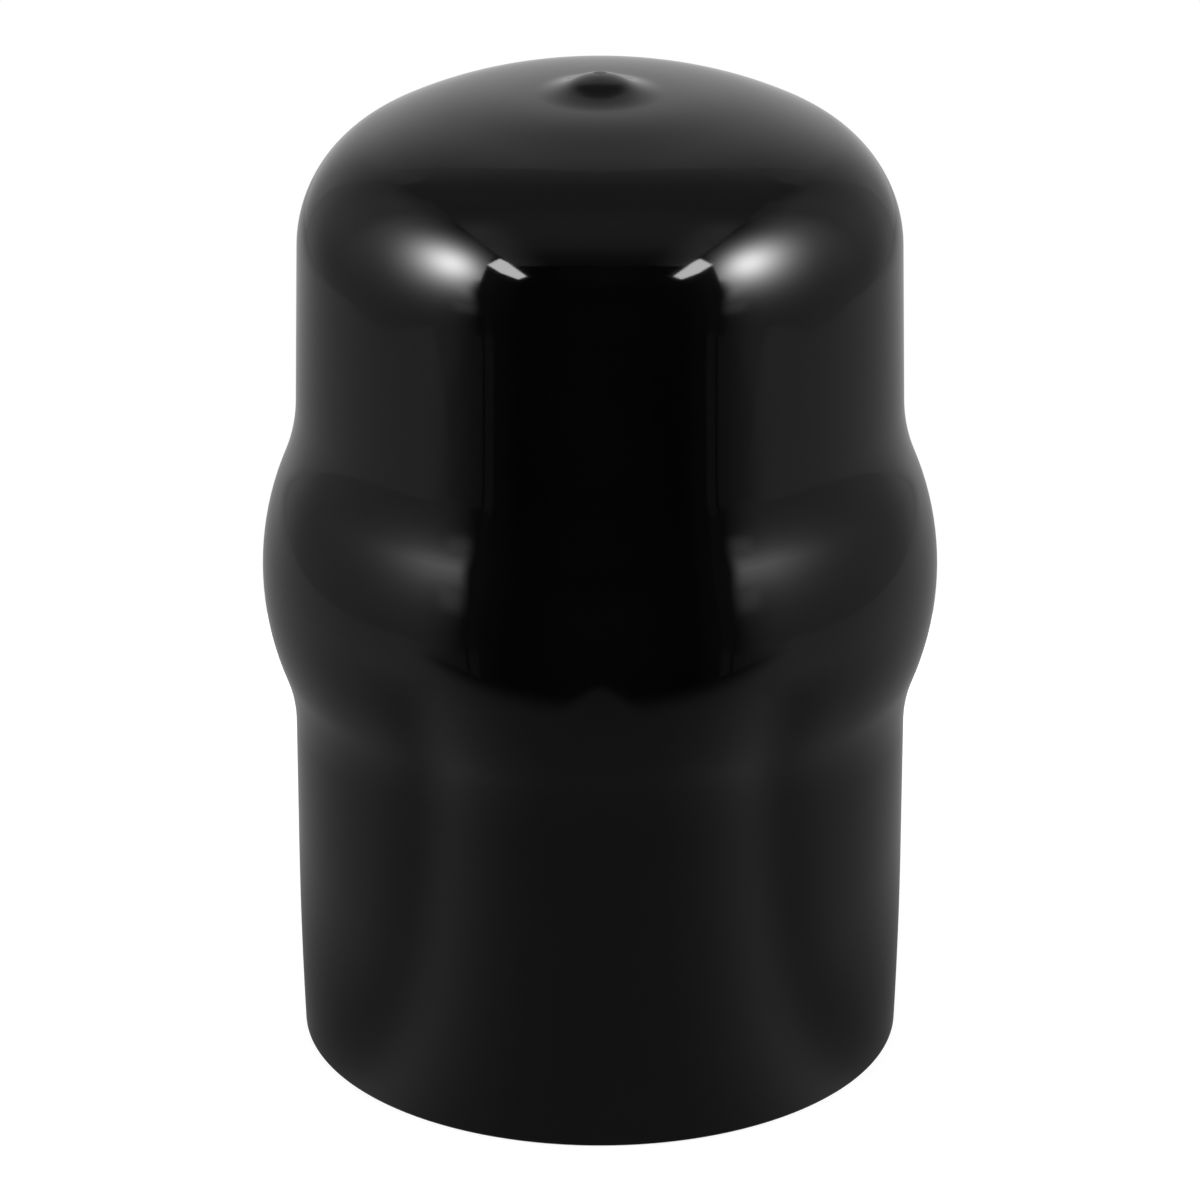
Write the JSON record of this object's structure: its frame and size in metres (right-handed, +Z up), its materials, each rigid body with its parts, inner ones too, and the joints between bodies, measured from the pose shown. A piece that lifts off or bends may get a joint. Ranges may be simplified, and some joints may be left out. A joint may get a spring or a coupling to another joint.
{
  "type": "tow ball cover",
  "caption": "Soft glossy black cap with a ball-shaped bulge, a straight open skirt and a domed closed end, pushed over a tow ball.",
  "frame": {"origin": "centre of the open rim's flat, on the axis of revolution", "axes": "+Z up the axis, from the open rim to the closed crown"},
  "size_m": [0.0562, 0.0562, 0.0845],
  "materials": {
    "cover": "smooth glossy black soft vinyl"
  },
  "bodies": {
    "root": {"cover": "cover"}
  },
  "joints": []
}
